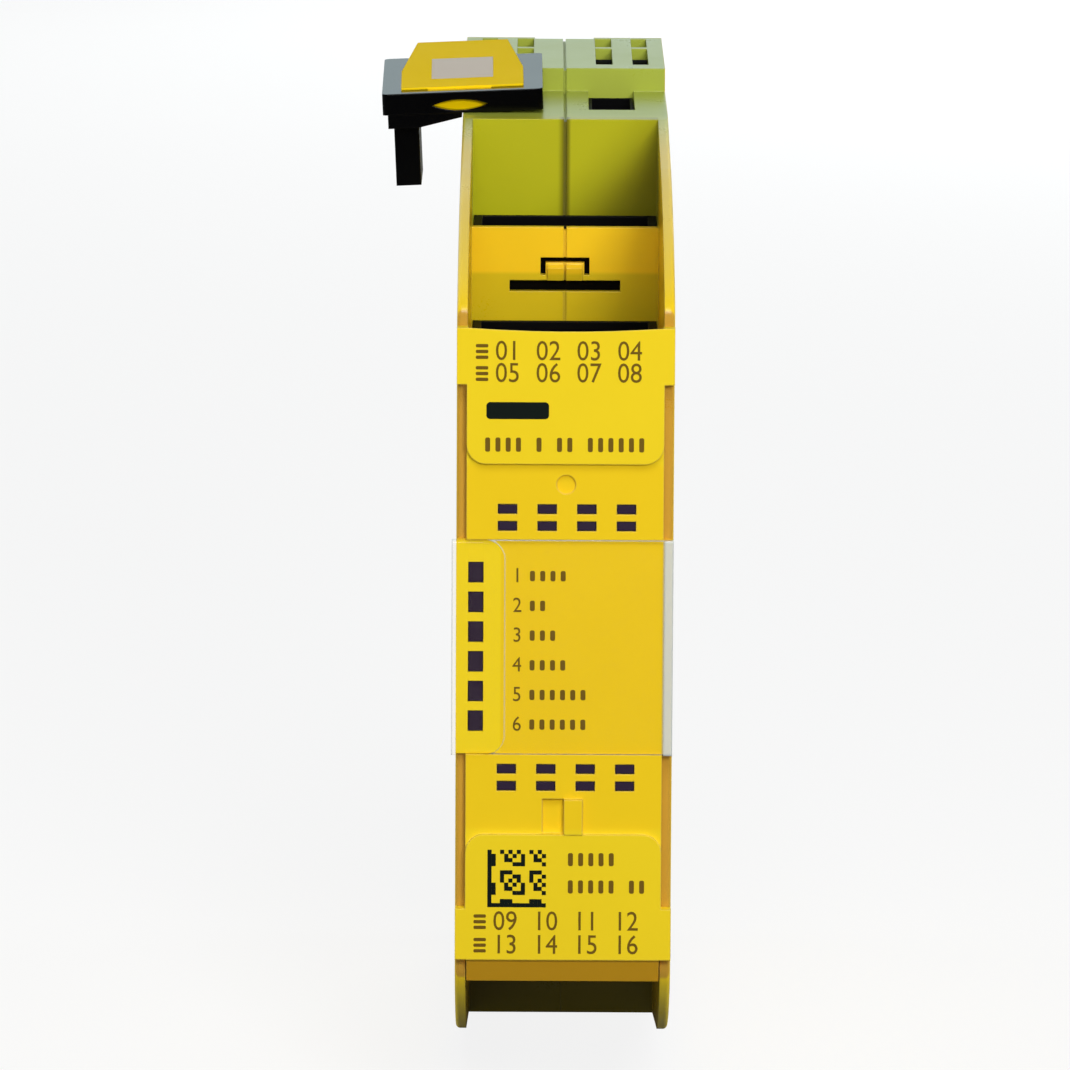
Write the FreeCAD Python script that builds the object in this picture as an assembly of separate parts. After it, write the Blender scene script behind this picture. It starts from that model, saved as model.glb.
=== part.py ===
"""Narrow rail-mounted safety relay, 22.5 mm wide, with a link plug in its top.

Sizes are millimetres.  While the pieces are made, X runs to the right seen from
the front, Y is the depth behind the front face and Z is up from the middle of
the front.  Just before export every piece is moved so that Y is zero at the
face that rests on the rail.
"""
import FreeCAD, Part
import math
import os

Vec = FreeCAD.Vector

# ---- overall sizes -------------------------------------------------------
WIDTH = 22.5
HEIGHT = 101.4
DEPTH = 118.0
RAIL_RECESS = 4.5
SEAT_DEPTH = DEPTH - RAIL_RECESS
HALF = WIDTH / 2.0
TOP = HEIGHT / 2.0

# ---- housing -------------------------------------------------------------
CHEEK = 1.1
WALL = 1.3
PARTITION = 1.2
EDGE_ROUND = 0.45
INNER_HALF = HALF - CHEEK
CHEEK_FRONT = 1.6
COVER_BACK = 2.6
STEP_RISE = 2.6
REAR_BAY_DROP = 10.5
FRONT_BAY_DROP = 10.1
TREAD = TOP - STEP_RISE
SHELF = TREAD - REAR_BAY_DROP
BAY_FLOOR = SHELF - FRONT_BAY_DROP
RISER_DEPTH = DEPTH - 31.7
REAR_WALL_DEPTH = DEPTH - 58.4
WELL_LENGTH = 9.8
FRONT_WALL_DEPTH = REAR_WALL_DEPTH - WELL_LENGTH - PARTITION
LOWER_SHIFT = 5.4
UPPER_NOSE_DEPTH = 36.0
UPPER_NOSE = TREAD - 2.5
LOWER_NOSE_DEPTH = 20.0
LOWER_NOSE = TOP - 5.9
CAVITY_BACK = SEAT_DEPTH - 1.6
SEAM_PEG = 1.1
SEAM_FIT = 0.05
SEAM_GROOVE = 0.15
SEAM_GROOVE_DEEP = 0.3
SEAM_INSET = 2.0
PEG_LENGTH = 6.0
PEG_HOLE = 4.0
BOSS = 2.3
POST = 2.2
POST_FRONT = (8.0, 7.2)
POST_BACK = (6.0, 8.0)
NOSE_PULL = 2.6
NOSE_MIDDLES = (0.45, 0.5)
RIM_SHORT = 3.0
TONGUE_HALF = 2.65
TONGUE_GAP = 0.55
TONGUE_SLOT = (3.1, 1.2)
TONGUE_SLOT_HALF = 6.0
TONGUE_TALL = 2.5
TONGUE_FOOT = 0.6
RAMP = ((0.0, 1.75), (0.7, 1.4), (0.25, 0.0), (0.0, 0.0))
RAMP_SIDES = (0.12, 1.9)
NOTCH_HALF = 3.4
NOTCH_LONG = 1.4
NOTCH_DEEP = 0.6
SLOT_START = RISER_DEPTH + 3.8
SLOT_LENGTH = 16.4
SLOT_BRIDGE = 1.4
SLOT_COLUMNS = ((3.5, 5.4), (INNER_HALF - 2.5, INNER_HALF - 0.7))

# ---- front cover and windows ---------------------------------------------
FACE_SET_IN = 1.05
FACE_HALF = HALF - FACE_SET_IN
FACE_TOP = BAY_FLOOR + 6.0
FACE_LOW = -BAY_FLOOR - 5.5
FACE_SAG = 0.35
FACE_SLOPE = 0.25
BAND_START = BAY_FLOOR + 0.1
PAD_UPPER_END = 19.3
PAD_LOWER_END = 19.7
PAD_RAISE = 0.5
PAD_CORNER = 2.0
PANEL_HALF = 11.3
PANEL_DEEP = 0.45
PANEL_BACK = PAD_RAISE + PANEL_DEEP
NOSE_START = BAY_FLOOR + 7.0
LIP_DROP = 2.8
LIP_BACK = 2.6
LIP_FRONT = (0.5, 0.3)
LIP_THICK = 1.2
SIDE_FIT = 0.1
RIB = (0.05, 1.97)
RIB_PROUD = 0.1
RIB_TOP = -16.0
GROOVE_LEFT = -2.2
GROOVE_DEEP = 0.5
DIMPLE = 1.0
DIMPLE_PLACE = (0.1, 17.1)
DIMPLE_DEEP = 0.3
CLIP_HALF = 4.0
CLIP_THICK = 1.2
CLIP_BACK = 7.0
CLIP_ROOT = 0.2
SIGNAL_WIDTH = 2.0
SIGNAL_HEIGHT = 1.04
SIGNAL_PITCH = 4.1
SIGNAL_FIRST = 0.2 - 1.5 * SIGNAL_PITCH
SIGNAL_ROWS_UPPER = (14.53, 12.75)
SIGNAL_ROWS_LOWER = (-12.83, -14.63)
STATUS_WIDTH = 1.6
STATUS_HEIGHT = 2.2
STATUS_X = STATUS_WIDTH / 2.0 + 1.25 - HALF
STATUS_FIRST = 7.82
STATUS_PITCH = 3.13
STATUS_COUNT = 6
STRIP_WIDTH = 5.0
STRIP_RAISE = 0.8
STRIP_BULGE = 0.45
STRIP_ROUND = 0.35
BEAD = 0.95
GUIDE_FIT = 0.05
GUIDE_BAR = (4.2, 5.4)
STATUS_BAR_OVER = 1.0
SIGNAL_BAR_SIDE = 0.9
SIGNAL_BAR_OVER = 0.4

# ---- electronics ---------------------------------------------------------
BOARD = 1.6
BOARD_X = 6.0
BOARD_FACE = BOARD_X - BOARD / 2.0
BOARD_FRONT = 12.0
BOARD_BACK = CAVITY_BACK - 1.9
BOARD_FIT = 0.4
BOARD_LOW_TOP = 3.6
DISPLAY_DEPTH = 8.0
DISPLAY_SHORT = 3.0
DISPLAY_SIDE = 0.5
DISPLAY_PLUG = (3.2, 5.0, 8.0)
BOARD_PLUG = (41.0, 35.5, 14.0)
LAMP = 0.7
STATUS_LAMP_FIT = 0.25
SIGNAL_LAMP_FIT = 0.2
PROCESSOR = (24.0, -16.0, 12.0, 12.0, 1.4)
CONVERTER = (31.0, 4.0, 20.0, 18.0, 8.6)
SWITCH = (10.0, 9.0, 6.5, 2.6)
ISOLATOR = (12.0, 6.5, 4.6, 3.5)
CHIP_GAP = 1.2
CAPACITOR = (4.0, 8.5)
CAPACITOR_DEPTH = 27.0
CAPACITOR_LEVELS = (-33.0, -23.5)
HEADER_FIT = 0.1
HEADER_HEIGHT = 10.5
HEADER_SINK = 0.1
HEADER_WALL = 0.9
HEADER_FLOOR = 1.6
HEADER_CLEAR = 0.2
PIN = 1.0
PIN_UNDER = 0.15
PIN_SUNK = 3.4
PIN_PITCH = 4.6
PIN_COUNT = 4
SWITCH_COUNT = 4

# ---- link plug and link sockets ------------------------------------------
PLUG_X = -HALF
PLUG_TILT = 2.6
PLUG_HALF = 8.85
PLUG_FRONT = RISER_DEPTH - 21.3
PLUG_BACK = RISER_DEPTH - 0.3
PLUG_THICK = 2.35
PLUG_RISE = 1.6
PLUG_CORNER = 0.6
PLUG_REST = 0.02
LEG_NEAR = 5.0
LEG_FAR = 7.75
LEG_DROP = 8.3
LEG_FRONT = PLUG_FRONT + 4.0
LEG_BACK = LEG_FRONT + 13.0
LEG_WALL = 1.2
LEG_SLOT = 1.6
LEG_GAP = 0.2
SHOULDER_NEAR = 4.05
SHOULDER_FAR = 8.05
SHOULDER_DROP = 1.5
WEB_FAR = 8.3
WEB_NEAR = 0.15
WEB_NEAR_DROP = 0.5
WEB_ENDS = (0.2, 0.5)
STRIP_METAL = 0.5
STRIP_LEVEL = 0.9
STRIP_END = 2.0
STRIP_SHORT = 1.2
LENS_X = PLUG_X - 0.3
LENS_HALF = 3.1
LENS_RISE = 0.6
LENS_LEVEL = 0.3
LENS_SINK = 1.2
LUG_THICK = 2.2
LUG_OVER = 0.4
LUG_UNDER = 0.1
GRIP_HALF = 6.75
GRIP_BACK_HALF = 5.05
GRIP_START = 0.25
GRIP_END = 5.7
GRIP_FRONT = PLUG_FRONT + 2.0
GRIP_KINK = PLUG_FRONT + 8.9
GRIP_BACK = PLUG_BACK - 0.4
LABEL_HALF = 3.4
LABEL_START = 3.3
LABEL_LENGTH = 8.2
LABEL_DEEP = 0.4
SOCKET_IN = HALF - LEG_FAR - 0.9
SOCKET_OUT = HALF - LEG_NEAR + 1.45
SOCKET_FRONT = LEG_FRONT - 0.5
SOCKET_DEEP = 12.0
SOCKET_SINK = 0.75
SOCKET_WALL = 0.3
SOCKET_FLOOR = 0.9
LINK_PIN = 0.6
LINK_PIN_START = 2.6
LINK_PIN_PITCH = 2.5
LINK_PIN_COUNT = 4
LINK_PIN_UNDER = 0.3
LINK_PIN_SUNK = 5.0

# ---- rail groove and latch -----------------------------------------------
RAIL_WIDTH = 35.0
RAIL_CLEARANCE = 0.2
RAIL_LIP = 1.3
HOOK_OVERLAP = 1.6
LEAD_IN = 1.2
LATCH_HALF = 5.0
LATCH_FIT = 0.15
LATCH_FLANGE = 1.5
FLANGE_THICK = 1.3
LATCH_TRAVEL = 3.0
LATCH_FOOT = 4.2
LATCH_BACK_GAP = 0.2
FLANGE_GAPS = (0.4, 1.0)
LATCH_WINDOW = (0.5, 0.4, 0.3)
PRY_SLOT = (2.0, 1.1, 2.6)
SPRING_GAP = 7.5
SPRING_LENGTH = 9.0
SPRING_FOLDS = 6
SPRING_THICK = 0.3
SPRING_HALF = 1.1
SPRING_FOOT = -RAIL_WIDTH / 2.0 - SPRING_GAP - SPRING_LENGTH
SPRING_MIDDLE = 1.1
SPRING_SWING = 0.8
STOP_TALL = 2.0
STOP_THICK = 2.3
STOP_OVER = 0.2

# ---- working values ------------------------------------------------------
OVER = 0.1
NEAR = 1e-6


def box(x0, x1, y0, y1, z0, z1):
    """A block between two values on each axis."""
    return Part.makeBox(x1 - x0, y1 - y0, z1 - z0, Vec(x0, y0, z0))


def slab(points, x0, x1):
    """A side outline of (depth, height) corners, carried from x0 to x1."""
    corners = [Vec(x0, depth, height) for depth, height in points]
    face = Part.Face(Part.makePolygon(corners + corners[:1]))
    return face.extrude(Vec(x1 - x0, 0, 0))


def bar_across(points, y0, y1):
    """A front outline of (x, height) corners, carried back from y0 to y1."""
    corners = [Vec(x, y0, height) for x, height in points]
    face = Part.Face(Part.makePolygon(corners + corners[:1]))
    return face.extrude(Vec(0, y1 - y0, 0))


def prism_up(points, z0, z1):
    """A top outline of (x, depth) corners, carried up from z0 to z1."""
    corners = [Vec(x, depth, z0) for x, depth in points]
    face = Part.Face(Part.makePolygon(corners + corners[:1]))
    return face.extrude(Vec(0, 0, z1 - z0))


def rod(radius, length, x, y, z, axis):
    """A round bar from a starting point along an axis."""
    return Part.makeCylinder(radius, length, Vec(x, y, z), axis)


def mirror_x(shape):
    """The same shape on the other side of the middle plane."""
    return shape.mirror(Vec(0, 0, 0), Vec(1, 0, 0))


def cut_all(shape, cutters):
    """Take away several shapes at once."""
    return shape.cut(Part.makeCompound(cutters))


def round_edges(shape, radius, wanted):
    """Round the edges that the test picks out."""
    return shape.makeFillet(radius, [edge for edge in shape.Edges if wanted(edge)])


def along_y(edge):
    """True for straight edges that run front to back."""
    ends = edge.Vertexes
    if len(ends) != 2:
        return False
    step = ends[1].Point - ends[0].Point
    return abs(step.x) < NEAR and abs(step.z) < NEAR


# ---- housing -------------------------------------------------------------
def nose(side, depth, reach, middle):
    """The curved front corner of a cheek, from its front edge to its slope."""
    curve = Part.BezierCurve()
    curve.setPoles([
        Vec(0, CHEEK_FRONT, side * NOSE_START),
        Vec(0, CHEEK_FRONT, side * (NOSE_START + NOSE_PULL)),
        Vec(0, depth * middle, side * (reach - NOSE_PULL + 0.3)),
        Vec(0, depth, side * reach),
    ])
    return curve.toShape()


def line(first, second):
    """A straight edge in the side plane between two (depth, height) corners."""
    return Part.makeLine(Vec(0, first[0], first[1]), Vec(0, second[0], second[1]))


def cheek():
    """One flat side wall with its curved noses and rounded outer edge."""
    lower_wall = REAR_WALL_DEPTH - LOWER_SHIFT
    corners = [(UPPER_NOSE_DEPTH, UPPER_NOSE), (REAR_WALL_DEPTH, TREAD),
               (RISER_DEPTH, TREAD), (RISER_DEPTH, TOP), (DEPTH, TOP), (DEPTH, -TOP),
               (lower_wall, -TOP), (LOWER_NOSE_DEPTH, -LOWER_NOSE)]
    edges = [line(first, second) for first, second in zip(corners, corners[1:])]
    edges.append(nose(1, UPPER_NOSE_DEPTH, UPPER_NOSE, NOSE_MIDDLES[0]))
    edges.append(nose(-1, LOWER_NOSE_DEPTH, LOWER_NOSE, NOSE_MIDDLES[1]))
    edges.append(line((CHEEK_FRONT, NOSE_START), (CHEEK_FRONT, -NOSE_START)))
    wire = Part.Wire(Part.__sortEdges__(edges))
    plate = Part.Face(wire).extrude(Vec(CHEEK, 0, 0))
    plate.translate(Vec(INNER_HALF, 0, 0))
    return round_edges(plate, EDGE_ROUND, is_cheek_rim)


def is_cheek_rim(edge):
    """True for the outer edge of a cheek, up to the rear wall of the bays."""
    ends = [corner.Point for corner in edge.Vertexes]
    outside = all(abs(point.x - HALF) < NEAR for point in ends)
    return outside and all(point.y <= REAR_WALL_DEPTH + NEAR for point in ends)


def upper_steps():
    """The stepped top of the body from the front to the back."""
    return [(COVER_BACK, BAY_FLOOR), (FRONT_WALL_DEPTH, BAY_FLOOR), (FRONT_WALL_DEPTH, SHELF),
            (REAR_WALL_DEPTH, SHELF), (REAR_WALL_DEPTH, TREAD), (RISER_DEPTH, TREAD),
            (RISER_DEPTH, TOP), (DEPTH, TOP)]


def lower_steps():
    """The stepped underside of the body from the back to the front."""
    front_wall = FRONT_WALL_DEPTH - LOWER_SHIFT
    rear_wall = REAR_WALL_DEPTH - LOWER_SHIFT
    return [(DEPTH, -TOP), (rear_wall, -TOP), (rear_wall, -SHELF), (front_wall, -SHELF),
            (front_wall, -BAY_FLOOR), (COVER_BACK, -BAY_FLOOR)]


def hollow_steps():
    """The outline of the hollow, one wall inside the steps and open in front."""
    front_wall = FRONT_WALL_DEPTH + PARTITION
    rear_wall = REAR_WALL_DEPTH + WALL
    riser = RISER_DEPTH + WALL
    over_rail = RAIL_WIDTH / 2.0 + RAIL_CLEARANCE + WALL
    upper = [(COVER_BACK, BAY_FLOOR - WALL), (front_wall, BAY_FLOOR - WALL),
             (front_wall, SHELF - WALL), (rear_wall, SHELF - WALL), (rear_wall, TREAD - WALL),
             (riser, TREAD - WALL), (riser, TOP - WALL), (DEPTH - WALL, TOP - WALL),
             (DEPTH - WALL, over_rail), (CAVITY_BACK, over_rail)]
    lower = [(CAVITY_BACK, WALL - TOP), (rear_wall - LOWER_SHIFT, WALL - TOP),
             (rear_wall - LOWER_SHIFT, WALL - SHELF), (front_wall - LOWER_SHIFT, WALL - SHELF),
             (front_wall - LOWER_SHIFT, WALL - BAY_FLOOR), (COVER_BACK, WALL - BAY_FLOOR)]
    return upper + lower


def wells():
    """Where each terminal well passes through a bay floor: (y0, y1, floor)."""
    rear = REAR_WALL_DEPTH
    front = FRONT_WALL_DEPTH
    return {
        "upper_rear": (rear - WELL_LENGTH, rear, SHELF),
        "upper_front": (front - WELL_LENGTH, front, BAY_FLOOR),
        "lower_front": (front - LOWER_SHIFT - WELL_LENGTH, front - LOWER_SHIFT, -BAY_FLOOR),
        "lower_rear": (rear - LOWER_SHIFT - WELL_LENGTH, rear - LOWER_SHIFT, -SHELF),
    }


def well_cutter(y0, y1, floor):
    """The hole of one terminal well, through the floor and down beside its wall."""
    sign = 1 if floor > 0 else -1
    low, high = sorted((floor - sign * (HEADER_HEIGHT + HEADER_SINK), floor))
    half = INNER_HALF - HEADER_FIT
    return box(-half, half, y0, y1, low, high)


def well_rim(y0, y1, floor):
    """The wall that hangs in front of a well, inside the hollow."""
    sign = 1 if floor > 0 else -1
    low, high = sorted((floor, floor - sign * (HEADER_HEIGHT - RIM_SHORT)))
    return box(0.0, INNER_HALF, y0 - PARTITION, y0, low, high)


def tongue_cutters():
    """The slot and the upside-down U gap of the snap tongue in the partition."""
    y0 = FRONT_WALL_DEPTH - OVER
    y1 = FRONT_WALL_DEPTH + PARTITION + OVER
    slot_low = BAY_FLOOR + TONGUE_SLOT[0]
    slot_high = slot_low + TONGUE_SLOT[1]
    roof = slot_high + TONGUE_TALL
    foot = slot_high + TONGUE_FOOT
    inner = TONGUE_HALF - TONGUE_GAP
    return [
        box(-TONGUE_SLOT_HALF, TONGUE_SLOT_HALF, y0, y1, slot_low, slot_high),
        box(-TONGUE_HALF, TONGUE_HALF, y0, y1, roof - TONGUE_GAP, roof),
        box(-TONGUE_HALF, -inner, y0, y1, foot, roof),
        box(inner, TONGUE_HALF, y0, y1, foot, roof),
    ]


def tongue_ramp():
    """The raised catch on the snap tongue, in front of the partition."""
    foot = BAY_FLOOR + sum(TONGUE_SLOT)
    points = [(FRONT_WALL_DEPTH - out, foot + up) for out, up in RAMP]
    return slab(points, *RAMP_SIDES)


def vent_slots():
    """The long slots of the right side, through the top and the bottom, and short ones behind."""
    slot_end = SLOT_START + SLOT_LENGTH
    above = (TOP - WALL - OVER, TOP + OVER)
    below = (-TOP - OVER, WALL + OVER - TOP)
    spans = [(SLOT_START, slot_end, above), (SLOT_START, slot_end, below),
             (slot_end + SLOT_BRIDGE, DEPTH - WALL, above)]
    return [box(x0, x1, y0, y1, *levels) for x0, x1 in SLOT_COLUMNS for y0, y1, levels in spans]


def rear_notch():
    """The shallow notch in the middle of the top rear edge."""
    return box(-NOTCH_HALF, NOTCH_HALF, DEPTH - NOTCH_LONG, DEPTH, TOP - NOTCH_DEEP, TOP)


def socket_cutter():
    """The opening for a link plug leg in the tread, on the right side."""
    return box(SOCKET_IN, SOCKET_OUT, SOCKET_FRONT, RISER_DEPTH, TREAD - SOCKET_DEEP, TREAD)


def socket_walls():
    """The block that becomes the four walls round a link socket."""
    return box(SOCKET_IN - WALL, SOCKET_OUT + WALL, SOCKET_FRONT - WALL, RISER_DEPTH + WALL,
               TREAD - SOCKET_DEEP, TREAD)


def rail_cutters():
    """The rail groove, with the fixed hook left standing at its top."""
    half_rail = RAIL_WIDTH / 2.0 + RAIL_CLEARANCE
    lip_back = SEAT_DEPTH + RAIL_LIP
    hook_edge = RAIL_WIDTH / 2.0 - HOOK_OVERLAP
    seat = box(-HALF, HALF, SEAT_DEPTH, lip_back, -half_rail, half_rail)
    open_part = box(-HALF, HALF, lip_back - OVER, DEPTH, -half_rail, hook_edge)
    lead_in = slab([(DEPTH, hook_edge + LEAD_IN), (DEPTH, hook_edge - OVER),
                    (DEPTH - LEAD_IN, hook_edge - OVER)], -HALF, HALF)
    return [seat, open_part, lead_in]


def latch_cutters():
    """The channel in the back in which the latch slides, with its side grooves."""
    y0 = SEAT_DEPTH + RAIL_LIP
    top = -RAIL_WIDTH / 2.0
    channel_half = LATCH_HALF + LATCH_FIT
    groove_half = channel_half + LATCH_FLANGE
    flange_back = y0 + FLANGE_THICK + 2 * LATCH_FIT
    return [box(-channel_half, channel_half, y0, DEPTH, -TOP, top),
            box(-groove_half, groove_half, y0, flange_back, -TOP, top)]


def spring_stop():
    """The half of the fixed stop under the latch spring, on the right side."""
    y0 = SEAT_DEPTH + RAIL_LIP
    return box(0.0, SPRING_HALF + STOP_OVER, y0, y0 + STOP_THICK, SPRING_FOOT - STOP_TALL,
               SPRING_FOOT)


def board_posts():
    """Posts on the right cheek that carry a board."""
    length = INNER_HALF - BOARD_X - BOARD / 2.0
    front = (BOARD_FRONT + POST_FRONT[0], BAY_FLOOR - POST_FRONT[1])
    back = (BOARD_BACK - POST_BACK[0], TREAD - POST_BACK[1])
    return [rod(POST, length, INNER_HALF - length, depth, side * height, Vec(1, 0, 0))
            for depth, height in (front, back) for side in (1, -1)]


def seam_places():
    """Where the two half shells are pinned together."""
    inset = WALL + SEAM_INSET
    back = CAVITY_BACK - SEAM_INSET
    return ((back, TOP - inset), (back, inset - TOP), (REAR_WALL_DEPTH + inset, TREAD - inset),
            (REAR_WALL_DEPTH - LOWER_SHIFT + inset, inset - TOP))


def seam_groove():
    """The shallow groove that runs along the seam on the upper outside of a half shell."""
    corners = [Vec(0, depth, height) for depth, height in upper_steps() + lower_steps()]
    face = Part.Face(Part.makePolygon(corners + corners[:1]))
    core = face.makeOffset2D(-SEAM_GROOVE_DEEP, join=2)
    ring = face.cut(core).extrude(Vec(SEAM_GROOVE, 0, 0))
    return ring.common(box(0.0, SEAM_GROOVE, 0.0, DEPTH, 0.0, TOP))


def half_shell():
    """The right half shell, before its pegs or peg holes."""
    block = slab(upper_steps() + lower_steps(), 0.0, INNER_HALF)
    shell = block.cut(slab(hollow_steps(), -1.0, INNER_HALF)).fuse(cheek())
    bosses = [rod(BOSS, INNER_HALF, 0.0, depth, height, Vec(1, 0, 0))
              for depth, height in seam_places()]
    rims = [well_rim(*place) for place in wells().values()]
    shell = shell.multiFuse(board_posts() + bosses + rims + [socket_walls()])
    openings = [well_cutter(*place) for place in wells().values()]
    shell = cut_all(shell, openings + tongue_cutters() + vent_slots() + [socket_cutter()])
    shell = cut_all(shell, rail_cutters())
    shell = cut_all(shell, latch_cutters() + [rear_notch(), seam_groove()])
    shell = shell.multiFuse([spring_stop(), tongue_ramp()])
    return shell.common(box(0.0, HALF, 0.0, DEPTH, -TOP, TOP)).removeSplitter()


def right_half_shell():
    """The right half shell, with the holes for the seam pegs."""
    holes = [rod(SEAM_PEG + SEAM_FIT, PEG_HOLE, 0.0, depth, height, Vec(1, 0, 0))
             for depth, height in seam_places()]
    return cut_all(half_shell(), holes)


def left_half_shell():
    """The left half shell, the mirror image with pegs that cross the seam."""
    pegs = [rod(SEAM_PEG, PEG_LENGTH, -PEG_LENGTH / 2.0, depth, height, Vec(1, 0, 0))
            for depth, height in seam_places()]
    return mirror_x(half_shell()).multiFuse(pegs).removeSplitter()


# ---- front ---------------------------------------------------------------
def cover_pad(low, high, round_level):
    """A raised field of the cover, rounded at the corners of one level."""
    def is_corner(edge):
        """True for an edge from front to back at the level that is rounded."""
        return along_y(edge) and abs(edge.Vertexes[0].Z - round_level) < NEAR

    pad = box(-FACE_HALF, FACE_HALF, 0.0, CHEEK_FRONT, low, high)
    return round_edges(pad, PAD_CORNER, is_corner)


def status_windows(fit, y0, y1):
    """The six blocks of the status windows, one under the other."""
    half_width = STATUS_WIDTH / 2.0 - fit
    half_height = STATUS_HEIGHT / 2.0 - fit
    middles = [STATUS_FIRST - index * STATUS_PITCH for index in range(STATUS_COUNT)]
    return [box(STATUS_X - half_width, STATUS_X + half_width, y0, y1,
                middle - half_height, middle + half_height) for middle in middles]


def signal_windows(rows, fit, y0, y1):
    """The blocks of the signal windows: two rows of four."""
    half_width = SIGNAL_WIDTH / 2.0 - fit
    half_height = SIGNAL_HEIGHT / 2.0 - fit
    middles = [SIGNAL_FIRST + index * SIGNAL_PITCH for index in range(4)]
    return [box(middle - half_width, middle + half_width, y0, y1,
                row - half_height, row + half_height) for row in rows for middle in middles]


def cover_lip(half):
    """The lip that leans back under the lower field of the cover."""
    low = FACE_LOW - LIP_DROP
    root = FACE_LOW + 1.0
    outline = [(0.0, FACE_LOW), (LIP_FRONT[0], FACE_LOW - LIP_FRONT[1]), (LIP_BACK, low),
               (LIP_BACK + LIP_THICK, low), (COVER_BACK, root), (0.0, root)]
    return slab(outline, -half, half)


def top_edge_cutter(between):
    """What makes the top edge of the cover hollow, and lower towards its back."""
    radius = (between ** 2 + FACE_SAG ** 2) / (2.0 * FACE_SAG)
    start = -1.0
    level = FACE_TOP - FACE_SAG - FACE_SLOPE * start + radius * math.hypot(1.0, FACE_SLOPE)
    bar = rod(radius, radius, 0.0, start, level, Vec(0, 1, -FACE_SLOPE))
    return bar.common(box(-between, between, start, COVER_BACK + 1.0, BAND_START, FACE_TOP + 1.0))


def front_cover():
    """The front plate with its raised fields, its lower lip and its clips."""
    between = INNER_HALF - SIDE_FIT
    plate = box(-between, between, PAD_RAISE, COVER_BACK, FACE_LOW, FACE_TOP)
    parts = [
        box(-FACE_HALF, FACE_HALF, PAD_RAISE, CHEEK_FRONT, FACE_LOW, FACE_TOP),
        box(-HALF, HALF, 0.0, CHEEK_FRONT, BAND_START, FACE_TOP),
        box(-HALF, HALF, 0.0, CHEEK_FRONT, FACE_LOW, -BAND_START),
        box(-HALF, HALF, PANEL_BACK, CHEEK_FRONT, -PANEL_HALF, PANEL_HALF),
        cover_pad(PAD_UPPER_END, FACE_TOP, PAD_UPPER_END),
        cover_pad(FACE_LOW, -PAD_LOWER_END, -PAD_LOWER_END),
        cover_lip(between),
        box(*RIB, -RIB_PROUD, COVER_BACK, -PAD_LOWER_END, RIB_TOP),
    ]
    inside = BAY_FLOOR - WALL
    for low, high in ((inside - CLIP_THICK, inside), (-inside, CLIP_THICK - inside)):
        parts.append(box(-CLIP_HALF, CLIP_HALF, COVER_BACK - CLIP_ROOT, CLIP_BACK, low, high))
    cutters = [
        box(-HALF, HALF, -1.0, PANEL_BACK, -PANEL_HALF, PANEL_HALF),
        box(GROOVE_LEFT, RIB[0], -1.0, PAD_RAISE + GROOVE_DEEP, -PAD_LOWER_END, RIB_TOP),
        rod(DIMPLE, 1.0 + DIMPLE_DEEP, DIMPLE_PLACE[0], PAD_RAISE - 1.0, DIMPLE_PLACE[1],
            Vec(0, 1, 0)),
        top_edge_cutter(between),
    ]
    y1 = COVER_BACK + 1.0
    cutters += status_windows(0.0, -1.0, y1)
    cutters += signal_windows(SIGNAL_ROWS_UPPER + SIGNAL_ROWS_LOWER, 0.0, -1.0, y1)
    return cut_all(plate.multiFuse(parts), cutters).removeSplitter()


def window_cover():
    """The clear sheet over the panel, thicker in front of the status windows."""
    sheet = box(-HALF, HALF, PAD_RAISE, PANEL_BACK, -PANEL_HALF, PANEL_HALF)
    strip = box(-HALF - STRIP_BULGE, STRIP_WIDTH - HALF, PANEL_BACK - PANEL_DEEP - STRIP_RAISE, PANEL_BACK,
                -PANEL_HALF, PANEL_HALF)
    strip = round_edges(strip, PAD_CORNER, is_strip_corner)
    strip = round_edges(strip, STRIP_ROUND, is_strip_front)
    bead = box(HALF - BEAD, HALF, 0.0, PANEL_BACK, -PANEL_HALF, PANEL_HALF)
    return sheet.multiFuse([strip, bead]).removeSplitter()


def is_strip_corner(edge):
    """True for the two right corner edges of the thick strip."""
    return along_y(edge) and abs(edge.Vertexes[0].X - STRIP_WIDTH + HALF) < NEAR


def is_strip_front(edge):
    """True for the front rim of the thick strip, apart from its left side."""
    front = PANEL_BACK - PANEL_DEEP - STRIP_RAISE
    ends = [corner.Point for corner in edge.Vertexes]
    on_front = all(abs(point.y - front) < NEAR for point in ends)
    on_left = all(abs(point.x + HALF + STRIP_BULGE) < NEAR for point in ends)
    return on_front and not on_left


def status_light_guide():
    """Six light fingers on one bar."""
    fingers = status_windows(GUIDE_FIT, PANEL_BACK + GUIDE_FIT, DISPLAY_DEPTH - LAMP)
    last = STATUS_FIRST - (STATUS_COUNT - 1) * STATUS_PITCH
    half = STATUS_WIDTH / 2.0 - GUIDE_FIT
    bar = box(STATUS_X - half, STATUS_X + half, *GUIDE_BAR,
              last - STATUS_BAR_OVER, STATUS_FIRST + STATUS_BAR_OVER)
    return fingers[0].multiFuse(fingers[1:] + [bar]).removeSplitter()


def signal_light_guide(rows):
    """Eight light fingers on one bar."""
    fingers = signal_windows(rows, GUIDE_FIT, PAD_RAISE + 2 * GUIDE_FIT, DISPLAY_DEPTH - LAMP)
    last = SIGNAL_FIRST + 3 * SIGNAL_PITCH
    bar = box(SIGNAL_FIRST - SIGNAL_BAR_SIDE, last + SIGNAL_BAR_SIDE, *GUIDE_BAR,
              min(rows) - SIGNAL_BAR_OVER, max(rows) + SIGNAL_BAR_OVER)
    return fingers[0].multiFuse(fingers[1:] + [bar]).removeSplitter()


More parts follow.
